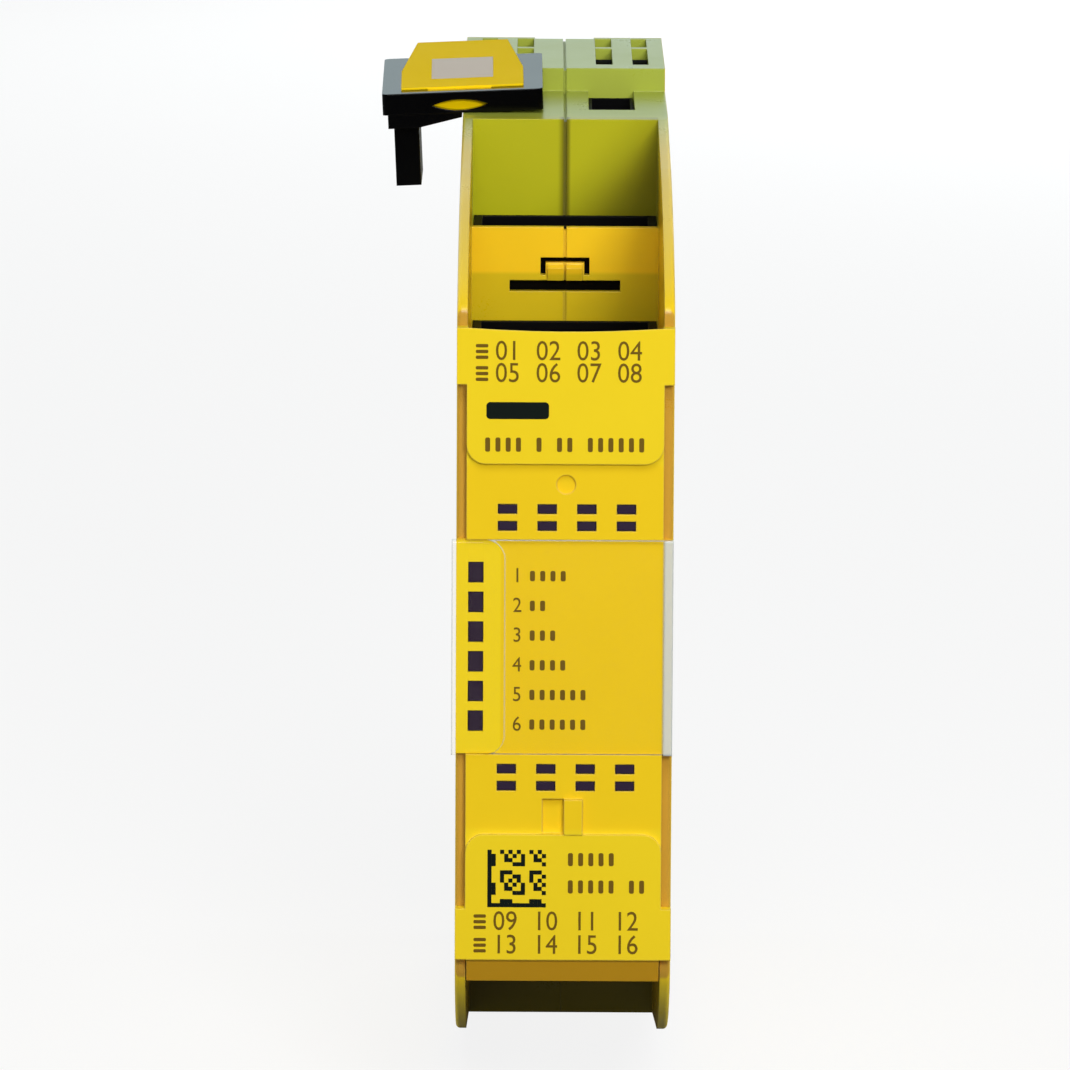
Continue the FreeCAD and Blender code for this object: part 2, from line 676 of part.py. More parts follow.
# ---- electronics ---------------------------------------------------------
def board_outline():
    """Side outline of a board, stepped round the wells and the link sockets."""
    header_drop = HEADER_SINK + HEADER_HEIGHT + HEADER_CLEAR
    under_front = BAY_FLOOR - header_drop
    under_rear = SHELF - header_drop
    front_start = FRONT_WALL_DEPTH - WELL_LENGTH - PARTITION - BOARD_FIT
    rear_start = REAR_WALL_DEPTH - WELL_LENGTH + BOARD_FIT
    rear_end = REAR_WALL_DEPTH + WALL + BOARD_FIT
    front_top = BAY_FLOOR - WALL - BOARD_FIT
    socket_low = TREAD - SOCKET_DEEP - BOARD_FIT
    back_start = RISER_DEPTH + WALL + BOARD_FIT
    high = TREAD - BOARD_LOW_TOP
    upper = [(BOARD_FRONT, front_top), (front_start, front_top), (front_start, under_front),
             (rear_start, under_front), (rear_start, under_rear), (rear_end, under_rear),
             (rear_end, socket_low), (back_start, socket_low), (back_start, high),
             (BOARD_BACK, high)]
    shift = LOWER_SHIFT
    lower = [(BOARD_BACK, -high), (rear_end - shift, -high), (rear_end - shift, -under_rear),
             (rear_start - shift, -under_rear), (rear_start - shift, -under_front),
             (front_start - shift, -under_front), (front_start - shift, -front_top),
             (BOARD_FRONT, -front_top)]
    return upper + lower


def side_board(side):
    """A board parallel to the cheeks, on the side given by the sign."""
    low, high = sorted((side * BOARD_FACE, side * (BOARD_FACE + BOARD)))
    return slab(board_outline(), low, high)


def display_board():
    """The small board behind the front cover."""
    half = BAY_FLOOR - WALL - DISPLAY_SHORT
    side = INNER_HALF - DISPLAY_SIDE
    return box(-side, side, DISPLAY_DEPTH, DISPLAY_DEPTH + BOARD, -half, half)


def indicator_leds():
    """The lamps on the display board, one behind every window."""
    y0 = DISPLAY_DEPTH - LAMP
    rows = SIGNAL_ROWS_UPPER + SIGNAL_ROWS_LOWER
    return Part.makeCompound(status_windows(STATUS_LAMP_FIT, y0, DISPLAY_DEPTH)
                             + signal_windows(rows, SIGNAL_LAMP_FIT, y0, DISPLAY_DEPTH))


def display_connector():
    """The plug between the display board and the left board."""
    wide, overlap, half = DISPLAY_PLUG
    return box(-BOARD_FACE, wide - BOARD_FACE, DISPLAY_DEPTH + BOARD, BOARD_FRONT + overlap,
               -half, half)


def board_connector():
    """The block that joins the two side boards."""
    start, end, half = BOARD_PLUG
    return box(-BOARD_FACE, BOARD_FACE, BOARD_BACK - start, BOARD_BACK - end, -half, half)


def chip(side, depth, height, length, tall, thick):
    """A package on the inner face of a side board, from its lower front corner."""
    low, high = sorted((side * BOARD_FACE, side * (BOARD_FACE - thick)))
    return box(low, high, depth, depth + length, height, height + tall)


def chip_column(side, start, length, tall, thick):
    """Equal packages one above the other, between the upper and the lower headers."""
    low = HEADER_SINK + HEADER_HEIGHT + CHIP_GAP - BAY_FLOOR
    pitch = (-2.0 * low - tall) / (SWITCH_COUNT - 1)
    depth = BOARD_FRONT + start
    return Part.makeCompound([chip(side, depth, low + row * pitch, length, tall, thick)
                              for row in range(SWITCH_COUNT)])


def capacitors():
    """Two capacitors that lie across the hollow, on the left board."""
    depth = BOARD_BACK - CAPACITOR_DEPTH
    return Part.makeCompound([rod(*CAPACITOR, -BOARD_FACE, depth, height, Vec(1, 0, 0))
                              for height in CAPACITOR_LEVELS])


def rear_chip(side, back, height, length, tall, thick):
    """A package whose place is counted from the back edge of its board."""
    return chip(side, BOARD_BACK - back, height, length, tall, thick)


def header(y0, y1, floor):
    """A terminal header: an open box that fills its well."""
    sign = 1 if floor > 0 else -1
    rim = floor - sign * HEADER_SINK
    deep = rim - sign * HEADER_HEIGHT
    half = INNER_HALF - 2 * HEADER_FIT
    low, high = sorted((rim, deep))
    outer = box(-half, half, y0 + HEADER_FIT, y1 - HEADER_FIT, low, high)
    low, high = sorted((rim, deep + sign * HEADER_FLOOR))
    inset = HEADER_FIT + HEADER_WALL
    pocket = box(HEADER_WALL - half, half - HEADER_WALL, y0 + inset, y1 - inset, low, high)
    return cut_all(outer, [pocket] + pin_bars(y0, y1, floor))


def pin_bars(y0, y1, floor):
    """The square pins of one header, standing up in it and reaching below it."""
    sign = 1 if floor > 0 else -1
    first = -PIN_PITCH * (PIN_COUNT - 1) / 2.0
    middle = (y0 + y1) / 2.0
    half = PIN / 2.0
    deep = floor - sign * (HEADER_SINK + HEADER_HEIGHT + PIN_UNDER)
    low, high = sorted((deep, floor - sign * PIN_SUNK))
    places = [first + PIN_PITCH * index for index in range(PIN_COUNT)]
    return [box(x - half, x + half, middle - half, middle + half, low, high) for x in places]


# ---- link sockets --------------------------------------------------------
def link_socket():
    """The black insert low in the right link socket."""
    fit = HEADER_FIT
    rim = TREAD - SOCKET_SINK
    inset = fit + SOCKET_WALL
    outer = box(SOCKET_IN + fit, SOCKET_OUT - fit, SOCKET_FRONT + fit, RISER_DEPTH - fit,
                TREAD - SOCKET_DEEP, rim)
    pocket = box(SOCKET_IN + inset, SOCKET_OUT - inset, SOCKET_FRONT + inset,
                 RISER_DEPTH - inset, TREAD - LEG_DROP - SOCKET_FLOOR, rim)
    return cut_all(outer, [pocket] + link_pins())


def link_pins():
    """The four pins of the right link socket."""
    middle_x = HALF - (LEG_NEAR + LEG_FAR) / 2.0
    half = LINK_PIN / 2.0
    low = TREAD - SOCKET_DEEP - LINK_PIN_UNDER
    high = TREAD - LINK_PIN_SUNK
    places = [LEG_FRONT + LINK_PIN_START + LINK_PIN_PITCH * index
              for index in range(LINK_PIN_COUNT)]
    return [box(middle_x - half, middle_x + half, y - half, y + half, low, high)
            for y in places]


# ---- link plug -----------------------------------------------------------
def tilted(shape):
    """Lean a piece of the link plug over the edge of the housing it rests on."""
    leaned = shape.copy()
    leaned.rotate(Vec(PLUG_X, 0, TREAD), Vec(0, 1, 0), -PLUG_TILT)
    return leaned


def plug_side_box(side, near, far, y0, y1, z0, z1):
    """A block on one side of the middle of the link plug."""
    low, high = sorted((PLUG_X + side * near, PLUG_X + side * far))
    return box(low, high, y0, y1, z0, z1)


def contact_strip():
    """The metal bridge of the link plug, with a tongue down each leg."""
    reach = (LEG_NEAR + LEG_FAR + LEG_SLOT) / 2.0
    y0 = LEG_FRONT + STRIP_END
    y1 = LEG_BACK - STRIP_END
    bottom = TREAD + STRIP_LEVEL
    top = bottom + STRIP_METAL
    bridge = box(PLUG_X - reach, PLUG_X + reach, y0, y1, bottom, top)
    tongues = [plug_side_box(side, reach - STRIP_METAL, reach, y0, y1,
                             TREAD - LEG_DROP + STRIP_SHORT, top) for side in (1, -1)]
    return bridge.multiFuse(tongues).removeSplitter()


def plate_top(depth):
    """The height of the sloped top of the plug body."""
    run = (depth - PLUG_FRONT) / (PLUG_BACK - PLUG_FRONT)
    return TREAD + PLUG_THICK + PLUG_RISE * run


def grip_top(depth):
    """The height of the sloped top of the grip."""
    start = plate_top(GRIP_FRONT) + GRIP_START
    run = (depth - GRIP_FRONT) / (GRIP_BACK - GRIP_FRONT)
    return start + (TREAD + GRIP_END - start) * run


def plug_lens():
    """The window in the front of the plug body, pointed where its two arcs meet."""
    radius = (LENS_HALF ** 2 + LENS_RISE ** 2) / (2.0 * LENS_RISE)
    middle = TREAD + LENS_LEVEL + LENS_RISE
    lower, upper = [rod(radius, LENS_SINK + OVER, LENS_X, PLUG_FRONT - OVER,
                        middle + side * (radius - LENS_RISE), Vec(0, 1, 0)) for side in (-1, 1)]
    return lower.common(upper)


def plug_lug():
    """The lug of the grip that passes down behind the curved window."""
    front = PLUG_FRONT + LENS_SINK
    back = front + LUG_THICK
    low = TREAD + LENS_LEVEL - LUG_UNDER
    outline = [(front, low), (back, low), (back, plate_top(back)), (front, plate_top(front))]
    return slab(outline, LENS_X - LENS_HALF - LUG_OVER, LENS_X + LENS_HALF + LUG_OVER)


def plug_plate():
    """The plate of the plug body, which thickens towards the back."""
    low = TREAD + PLUG_REST
    outline = [(PLUG_FRONT, low), (PLUG_BACK, low), (PLUG_BACK, plate_top(PLUG_BACK)),
               (PLUG_FRONT, plate_top(PLUG_FRONT))]
    plate = slab(outline, PLUG_X - PLUG_HALF, PLUG_X + PLUG_HALF)
    return round_edges(plate, PLUG_CORNER, is_upright)


def is_upright(edge):
    """True for straight edges that run up and down."""
    ends = [corner.Point for corner in edge.Vertexes]
    return abs(ends[0].x - ends[1].x) < NEAR and abs(ends[0].y - ends[1].y) < NEAR


def plug_body():
    """The black body of the link plug: a plate, a web, a shoulder and two legs."""
    low = TREAD + PLUG_REST
    web = [(PLUG_X - WEB_FAR, low), (PLUG_X - WEB_FAR, TREAD - SHOULDER_DROP),
           (PLUG_X - LEG_NEAR, TREAD - SHOULDER_DROP), (PLUG_X - WEB_NEAR, TREAD - WEB_NEAR_DROP),
           (PLUG_X - WEB_NEAR, low)]
    inset = HEADER_FIT + SOCKET_WALL + LEG_GAP
    added = [bar_across(web, PLUG_FRONT + WEB_ENDS[0], PLUG_BACK - WEB_ENDS[1]),
             plug_side_box(1, SHOULDER_NEAR, SHOULDER_FAR, SOCKET_FRONT + inset,
                           RISER_DEPTH - inset, TREAD - SHOULDER_DROP, low)]
    middle = (LEG_NEAR + LEG_FAR) / 2.0
    slots = []
    for side in (1, -1):
        added.append(plug_side_box(side, LEG_NEAR, LEG_FAR, LEG_FRONT, LEG_BACK,
                                   TREAD - LEG_DROP, low))
        slots.append(plug_side_box(side, middle - LEG_SLOT / 2.0, middle + LEG_SLOT / 2.0,
                                   LEG_FRONT + LEG_WALL, LEG_BACK - LEG_WALL,
                                   TREAD - LEG_DROP - OVER, TREAD + STRIP_LEVEL))
    body = plug_plate().multiFuse(added)
    return cut_all(body, slots + [plug_lens(), plug_lug(), contact_strip()])


def plug_cap():
    """The yellow grip: a wedge that narrows towards its high back edge."""
    plan = [(PLUG_X - GRIP_HALF, GRIP_FRONT), (PLUG_X + GRIP_HALF, GRIP_FRONT),
            (PLUG_X + GRIP_HALF, GRIP_KINK), (PLUG_X + GRIP_BACK_HALF, GRIP_BACK),
            (PLUG_X - GRIP_BACK_HALF, GRIP_BACK), (PLUG_X - GRIP_HALF, GRIP_KINK)]
    outline = [(GRIP_FRONT, plate_top(GRIP_FRONT)), (GRIP_BACK, plate_top(GRIP_BACK)),
               (GRIP_BACK, grip_top(GRIP_BACK)), (GRIP_FRONT, grip_top(GRIP_FRONT))]
    wedge = prism_up(plan, TREAD, TREAD + 2.0 * GRIP_END)
    wedge = wedge.common(slab(outline, PLUG_X - GRIP_HALF, PLUG_X + GRIP_HALF))
    return wedge.fuse(plug_lug()).cut(label_block()).removeSplitter()


def label_block():
    """The label panel let into the sloped top of the grip."""
    starts = (GRIP_FRONT + LABEL_START, GRIP_FRONT + LABEL_START + LABEL_LENGTH)
    top = [(depth, grip_top(depth)) for depth in starts]
    bottom = [(depth, height - LABEL_DEEP) for depth, height in reversed(top)]
    return slab(top + bottom, PLUG_X - LABEL_HALF, PLUG_X + LABEL_HALF)


# ---- rail latch ----------------------------------------------------------
def rail_latch():
    """The sliding latch with its nose behind the rail and its foot below."""
    y0 = SEAT_DEPTH + RAIL_LIP + LATCH_FIT
    y1 = DEPTH - LATCH_BACK_GAP
    top = -RAIL_WIDTH / 2.0 + HOOK_OVERLAP
    foot = -TOP - LATCH_FOOT
    reach = LATCH_HALF + LATCH_FLANGE
    bar = box(-LATCH_HALF, LATCH_HALF, y0, y1, foot, top)
    flanges = box(-reach, reach, y0, y0 + FLANGE_THICK, LATCH_TRAVEL - TOP + FLANGE_GAPS[0],
                  -RAIL_WIDTH / 2.0 - FLANGE_GAPS[1])
    lead_in = slab([(y1, top - LEAD_IN), (y1, top + OVER), (y1 - LEAD_IN, top + OVER)],
                   -LATCH_HALF, LATCH_HALF)
    half, low, high = PRY_SLOT
    pry_slot = box(-half, half, y0 - OVER, y1 + OVER, foot + low, foot + high)
    return cut_all(bar.fuse(flanges), [latch_window(y0, y1), lead_in, pry_slot]).removeSplitter()


def latch_window(y0, y1):
    """The pocket of the latch that holds the spring and passes the fixed stop."""
    side, web, under = LATCH_WINDOW
    half = SPRING_HALF + side
    return box(-half, half, y0 - OVER, y1 - web, SPRING_FOOT - STOP_TALL - under,
               SPRING_FOOT + SPRING_LENGTH)


def latch_spring():
    """The folded strip spring between the fixed stop and the latch."""
    middle = SEAT_DEPTH + RAIL_LIP + LATCH_FIT + SPRING_MIDDLE
    pitch = SPRING_LENGTH / SPRING_FOLDS
    sides = [SPRING_SWING if index % 2 else -SPRING_SWING for index in range(SPRING_FOLDS + 1)]
    near = [(middle + side, SPRING_FOOT + index * pitch) for index, side in enumerate(sides)]
    far = [(depth + SPRING_THICK, height) for depth, height in reversed(near)]
    return slab(near + far, -SPRING_HALF, SPRING_HALF)


def build_pieces():
    """Every piece by its name."""
    pieces = {
        "left_half_shell": left_half_shell(),
        "right_half_shell": right_half_shell(),
        "front_cover": front_cover(),
        "window_cover": window_cover(),
        "status_light_guide": status_light_guide(),
        "upper_light_guide": signal_light_guide(SIGNAL_ROWS_UPPER),
        "lower_light_guide": signal_light_guide(SIGNAL_ROWS_LOWER),
        "main_board": side_board(-1),
        "output_board": side_board(1),
        "display_board": display_board(),
        "indicator_leds": indicator_leds(),
        "display_connector": display_connector(),
        "board_connector": board_connector(),
        "main_processor": rear_chip(-1, *PROCESSOR),
        "check_processor": rear_chip(1, *PROCESSOR),
        "converter_block": rear_chip(1, *CONVERTER),
        "capacitors": capacitors(),
        "output_switches": chip_column(1, *SWITCH),
        "input_isolators": chip_column(-1, *ISOLATOR),
        "link_socket_right": link_socket(),
        "link_socket_left": mirror_x(link_socket()),
        "link_contacts_right": Part.makeCompound(link_pins()),
        "link_contacts_left": mirror_x(Part.makeCompound(link_pins())),
        "plug_body": tilted(plug_body()),
        "plug_cap": tilted(plug_cap()),
        "plug_label": tilted(label_block()),
        "plug_contacts": tilted(contact_strip()),
        "rail_latch": rail_latch(),
        "latch_spring": latch_spring(),
    }
    for name, place in wells().items():
        pieces["header_" + name] = header(*place)
        pieces["pins_" + name] = Part.makeCompound(pin_bars(*place))
    return pieces


def main():
    """Build every piece and write it as its own file."""
    os.makedirs("parts", exist_ok=True)
    for name, shape in build_pieces().items():
        moved = shape.copy()
        moved.translate(Vec(0, -SEAT_DEPTH, 0))
        moved.exportStep(os.path.join("parts", name + ".step"))
        print(name, len(moved.Solids), round(moved.Volume, 1), moved.isValid())


main()
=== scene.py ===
import math

import bmesh
import bpy
import numpy as np
from mathutils import Matrix, Vector


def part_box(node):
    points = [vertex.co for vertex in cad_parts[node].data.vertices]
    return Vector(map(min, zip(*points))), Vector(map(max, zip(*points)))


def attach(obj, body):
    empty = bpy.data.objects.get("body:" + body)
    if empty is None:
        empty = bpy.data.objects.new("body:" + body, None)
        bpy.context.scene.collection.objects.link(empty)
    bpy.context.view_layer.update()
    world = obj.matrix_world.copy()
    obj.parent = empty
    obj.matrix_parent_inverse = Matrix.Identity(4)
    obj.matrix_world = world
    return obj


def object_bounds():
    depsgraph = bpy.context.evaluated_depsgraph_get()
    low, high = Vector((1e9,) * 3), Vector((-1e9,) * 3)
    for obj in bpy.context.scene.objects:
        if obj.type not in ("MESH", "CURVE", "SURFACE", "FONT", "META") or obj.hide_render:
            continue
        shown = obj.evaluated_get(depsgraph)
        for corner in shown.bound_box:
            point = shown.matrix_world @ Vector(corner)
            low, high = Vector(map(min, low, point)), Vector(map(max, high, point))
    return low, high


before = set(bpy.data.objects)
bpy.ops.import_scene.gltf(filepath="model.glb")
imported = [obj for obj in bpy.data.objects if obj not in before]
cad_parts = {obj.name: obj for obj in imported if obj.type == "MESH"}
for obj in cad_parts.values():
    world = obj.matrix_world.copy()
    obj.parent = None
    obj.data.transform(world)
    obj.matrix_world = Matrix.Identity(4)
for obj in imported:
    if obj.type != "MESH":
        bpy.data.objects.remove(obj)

# Lengths named here are in mm unless they say otherwise, and are multiplied by MM where used.
CAD_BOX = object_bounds()
MM = 0.001
RIB_PROUD = 0.1
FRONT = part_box("front_cover")[0].y + RIB_PROUD * MM
SCENE = bpy.context.scene
SCENE.view_settings.view_transform = "Standard"


# ---- node helpers ----------------------------------------------------------
# sockets of the Mix node when it mixes colours
MIX_SHARE, MIX_FIRST, MIX_SECOND, MIX_RESULT = 0, 6, 7, 2
NOISE_ROUGH = 0.55
# cosines between the rounded and the flat normal: away from an edge, and on it
EDGE_FLAT, EDGE_SHARP = 0.995, 0.75


def add(tree, kind, values=None, **settings):
    """A shader node with its settings and the values or links of its sockets."""
    made = tree.nodes.new("ShaderNode" + kind)
    for name, value in settings.items():
        setattr(made, name, value)
    for key, value in (values or {}).items():
        if isinstance(value, bpy.types.NodeSocket):
            tree.links.new(value, made.inputs[key])
        else:
            made.inputs[key].default_value = value
    return made


def math_node(tree, operation, first, second=0.0, third=0.0, clamp=False):
    """One sum on numbers or sockets."""
    made = add(tree, "Math", {0: first, 1: second, 2: third}, operation=operation,
               use_clamp=clamp)
    return made.outputs[0]


def between(tree, value, start, end):
    """0 up to start, 1 from end on, and a smooth slope in between. End may be the lower one."""
    made = add(tree, "MapRange", {"Value": value, "From Min": start, "From Max": end},
               interpolation_type="SMOOTHSTEP")
    return made.outputs["Result"]


def blend_colour(tree, share, first, second, kind="MIX"):
    """Two colours mixed by a share from 0 to 1."""
    made = add(tree, "Mix", {MIX_SHARE: share, MIX_FIRST: first, MIX_SECOND: second},
               data_type="RGBA", blend_type=kind)
    return made.outputs[MIX_RESULT]


def fresh(name):
    """A material with an empty tree, and the output node in it."""
    material = bpy.data.materials.new(name)
    material.use_nodes = True
    tree = material.node_tree
    tree.nodes.clear()
    return material, tree, add(tree, "OutputMaterial")


def object_place(tree):
    """The place of a point on its object."""
    return add(tree, "TexCoord").outputs["Object"]


def noise(tree, place, scale, detail):
    """Smooth random values round a half."""
    made = add(tree, "TexNoise", {"Vector": place, "Scale": scale, "Detail": detail,
                                  "Roughness": NOISE_ROUGH})
    return made.outputs["Fac"]


def soft_edge(tree, radius, samples=4):
    """A normal that rounds sharp edges."""
    return add(tree, "Bevel", {"Radius": radius * MM}, samples=samples).outputs["Normal"]


def near_edge(tree, rounded):
    """1 on a rounded edge and 0 away from it."""
    flat = add(tree, "NewGeometry").outputs["True Normal"]
    dot = add(tree, "VectorMath", {0: rounded, 1: flat}, operation="DOT_PRODUCT")
    return between(tree, dot.outputs["Value"], EDGE_FLAT, EDGE_SHARP)


def linear(red, green, blue):
    """A colour written as 0 to 255 display values, turned into light values by the sRGB curve."""
    knee, slope, lift, power = 0.04045, 12.92, 0.055, 2.4
    values = np.array([red, green, blue]) / 255.0
    light = np.where(values <= knee, values / slope, ((values + lift) / (1.0 + lift)) ** power)
    return (*[float(value) for value in light], 1.0)


# ---- paint by place --------------------------------------------------------
# A layer is a colour, how much of it is laid on, and the slopes that bound its zone. A slope is an
# axis with the place where the zone starts and the place where it is full.
SLANT = -0.9
OUTER = (236, 200, 24)
OUTER_PAINTED_LIGHT = (
    # painted reflection and shade: grey green on the high rear steps
    ((178, 190, 74), 1.0, (("depth", 40.5, 66.5), ("depth", 117.9, 117.5),
                           ("height", 34.0, 40.0), ("across", 11.24, 11.16))),
    # painted light: paler yellow on the lower tips of the cheeks
    ((255, 226, 50), 1.0, (("height", -34.0, -38.0), ("depth", 24.0, 16.0),
                           ("across", 11.24, 11.16))),
)
INNER = (244, 204, 34)
DEEP = ("depth", 50.0, 56.0)
INNER_PAINTED_SHADE = (
    # painted shade: duller yellow on the shelf in front of the upper partition
    ((196, 180, 26), 0.7, (("height", 20.0, 22.0), ("height", 32.9, 32.3),
                           ("depth", 44.0, 46.0), ("depth", 56.0, 50.0))),
    # painted shade: olive on the walls behind it
    ((184, 184, 28), 1.0, (DEEP,)),
    # painted shade: dark on both sides of the seam of those walls
    ((84, 76, 8), 0.75, (("sideways", -0.9, -0.1), ("sideways", 0.7, 0.25), DEEP)),
    # slanted shade in their right corner
    ((92, 82, 6), 0.75, (("slant", -38.5, -27.0), DEEP, ("height", 30.0, 34.0),
                         ("depth", 64.0, 62.0))),
    # painted shade: brown in the lowest bay
    ((112, 100, 12), 1.0, (("height", -34.0, -38.0),)),
)
INSIDE = (("across", 10.16, 10.10), ("depth", 62.0, 61.0))
WALL_PAINTED_SHADE = (
    # painted shade: dark in the hollow behind the vent slots
    ((38, 34, 8), 1.0, (("depth", 87.9, 88.1), ("depth", 116.5, 116.3), ("height", 49.36, 49.3),
                        ("height", 20.0, 21.0), ("across", 11.1, 11.0))),
    # painted shade: brown on the front rims of the cheeks
    ((196, 150, 50), 1.0, (("depth", 1.4, 1.5), ("depth", 1.9, 1.7))),
)
COVER = (240, 202, 26)
COVER_TONES_AND_SHADE = (
    # lemon yellow on the two raised fields
    ((240, 209, 32), 1.0, (("level", 18.8, 19.6),)),
    # paler yellow behind the status windows
    ((244, 214, 30), 1.0, (("sideways", -6.5, -6.7), ("level", 11.3, 11.0))),
    # painted shade: orange on the lower lip
    ((244, 184, 34), 1.0, (("height", -32.9, -33.2),)),
)


def axes_of(tree, place):
    """The measures of a point by name: sideways, its distance across, height and so on."""
    split = add(tree, "SeparateXYZ", {0: place})
    sideways, height = split.outputs["X"], split.outputs["Z"]
    return {
        "sideways": sideways,
        "across": math_node(tree, "ABSOLUTE", sideways),
        "height": height,
        "level": math_node(tree, "ABSOLUTE", height),
        "depth": math_node(tree, "SUBTRACT", split.outputs["Y"], FRONT),
        "slant": math_node(tree, "MULTIPLY_ADD", height, SLANT, sideways),
    }


def zone(tree, axes, slopes, share=1.0):
    """The product of a share and of the slopes that bound a zone."""
    for axis, start, end in slopes:
        slope = between(tree, axes[axis], start * MM, end * MM)
        share = math_node(tree, "MULTIPLY", slope, share)
    return share


def layered(tree, axes, colour, layers):
    """A colour with each layer laid over it in its zone."""
    for over, share, slopes in layers:
        colour = blend_colour(tree, zone(tree, axes, slopes, share), colour, linear(*over))
    return colour


def housing_paint(tree, place):
    """Yellow outside, with painted reflection and shade in grey green on the high rear steps and
    painted light on the lower cheek tips; painted olive and darker shade on the inner walls, in
    the hollow behind the vent slots and on the cheek rims.
    """
    axes = axes_of(tree, place)
    outer = layered(tree, axes, linear(*OUTER), OUTER_PAINTED_LIGHT)
    inner = layered(tree, axes, linear(*INNER), INNER_PAINTED_SHADE)
    walls = blend_colour(tree, zone(tree, axes, INSIDE), outer, inner)
    return layered(tree, axes, walls, WALL_PAINTED_SHADE)


def cover_paint(tree, place):
    """Lemon yellow on the two raised fields and a warmer yellow between them, with painted orange
    shade on the lower lip.
    """
    return layered(tree, axes_of(tree, place), linear(*COVER), COVER_TONES_AND_SHADE)


# ---- materials -------------------------------------------------------------
GRAIN_SCALE, GRAIN_DETAIL, GRAIN_HEIGHT, GRAIN_GLOSS = 5200.0, 2.0, 0.04, 0.06
PATCH_SCALE, PATCH_DETAIL, PATCH_DULL, PATCH_GLOSS = 90.0, 4.0, 0.16, 0.14
DULL_TINT = (0.55, 0.5, 0.45, 1.0)
WORN_TINT = (1.0, 0.97, 0.85, 1.0)
COAT_ROUGH = 0.12
PRINT_EDGE = 0.02

BEAD = (10.25, 10.4)
CLEAR_TINT = (1.0, 0.99, 0.96, 1.0)
CLEAR_EDGE, CLEAR_EDGE_SAMPLES = 0.4, 8
CLEAR_PATCH_SCALE, CLEAR_PATCH_DETAIL = 140.0, 3.0
CLEAR_ROUGH, CLEAR_PATCH_GLOSS = 0.06, 0.1
# painted highlight: a pale colour laid on the rounded edges and the bead of the clear cover
GLINT_COLOUR, GLINT_ROUGH, EDGE_GLINT_SHARE, BEAD_GLINT_SHARE = (206, 212, 210), 0.25, 0.75, 0.85
GRAZING_BLEND, MIRROR_SHARE = 0.3, 0.8

METAL_EDGE = 0.1
RUB_SCALE, RUB_DETAIL, RUB_STRETCH = 900.0, 3.0, (1.0, 1.0, 0.06)
RUB_STRENGTH, RUB_HEIGHT, RUB_GLOSS = 0.1, 0.02, 0.2


def moulded(name, colour, rough, grain, edge=0.2, wear=0.12, coat=0.0, specular=0.5):
    """Moulded plastic: fine sparked texture, patchy gloss and slightly paler edges.

    The colour is a value, or a function that paints by place.
    """
    material, tree, output = fresh(name)
    place = object_place(tree)
    fine = noise(tree, place, GRAIN_SCALE, GRAIN_DETAIL)
    patch = noise(tree, place, PATCH_SCALE, PATCH_DETAIL)
    rounded = soft_edge(tree, edge)
    base = colour(tree, place) if callable(colour) else colour
    dulled = blend_colour(tree, math_node(tree, "MULTIPLY", patch, PATCH_DULL), base,
                          DULL_TINT, "MULTIPLY")
    worn = math_node(tree, "MULTIPLY", near_edge(tree, rounded), wear)
    shine = math_node(tree, "MULTIPLY_ADD", patch, PATCH_GLOSS, rough - PATCH_GLOSS / 2.0)
    shine = math_node(tree, "MULTIPLY_ADD", fine, GRAIN_GLOSS, shine)
    bump = add(tree, "Bump", {"Strength": grain, "Distance": GRAIN_HEIGHT * MM, "Height": fine,
                              "Normal": rounded})
    shader = add(tree, "BsdfPrincipled", {
        "Base Color": blend_colour(tree, worn, dulled, WORN_TINT), "Roughness": shine,
        "Normal": bump.outputs[0], "Specular IOR Level": specular, "Coat Weight": coat,
        "Coat Roughness": COAT_ROUGH})
    tree.links.new(shader.outputs[0], output.inputs[0])
    return material


def clear_plastic(name):
    """Thin clear plastic: light passes straight through, gloss on top, and a painted highlight
    makes it pale at its edges and along its bead.
    """
    material, tree, output = fresh(name)
    place = object_place(tree)
    sideways = add(tree, "SeparateXYZ", {0: place}).outputs["X"]
    bead = between(tree, sideways, BEAD[0] * MM, BEAD[1] * MM)
    surface = add(tree, "NewGeometry")
    grazing = add(tree, "LayerWeight", {
        "Blend": GRAZING_BLEND, "Normal": surface.outputs["True Normal"]}).outputs["Fresnel"]
    outside = math_node(tree, "SUBTRACT", 1.0, surface.outputs["Backfacing"])
    patch = noise(tree, place, CLEAR_PATCH_SCALE, CLEAR_PATCH_DETAIL)
    rounded = soft_edge(tree, CLEAR_EDGE, CLEAR_EDGE_SAMPLES)
    through = add(tree, "BsdfTransparent", {"Color": CLEAR_TINT})
    glint = add(tree, "BsdfPrincipled", {
        "Base Color": linear(*GLINT_COLOUR), "Roughness": GLINT_ROUGH, "Normal": rounded})
    shine = math_node(tree, "MULTIPLY_ADD", patch, CLEAR_PATCH_GLOSS, CLEAR_ROUGH)
    gloss = add(tree, "BsdfGlossy", {"Roughness": shine, "Normal": rounded})
    # painted highlight on the rounded edges and on the bead
    glint_share = math_node(tree, "MULTIPLY", near_edge(tree, rounded), EDGE_GLINT_SHARE)
    glint_share = math_node(tree, "MULTIPLY_ADD", bead, BEAD_GLINT_SHARE, glint_share, clamp=True)
    glint_share = math_node(tree, "MULTIPLY", glint_share, outside)
    body = add(tree, "MixShader", {0: glint_share, 1: through.outputs[0], 2: glint.outputs[0]})
    mirror = math_node(tree, "MULTIPLY", grazing, MIRROR_SHARE)
    mirror = math_node(tree, "MULTIPLY", mirror, outside)
    both = add(tree, "MixShader", {0: mirror, 1: body.outputs[0], 2: gloss.outputs[0]})
    tree.links.new(both.outputs[0], output.inputs[0])
    return material


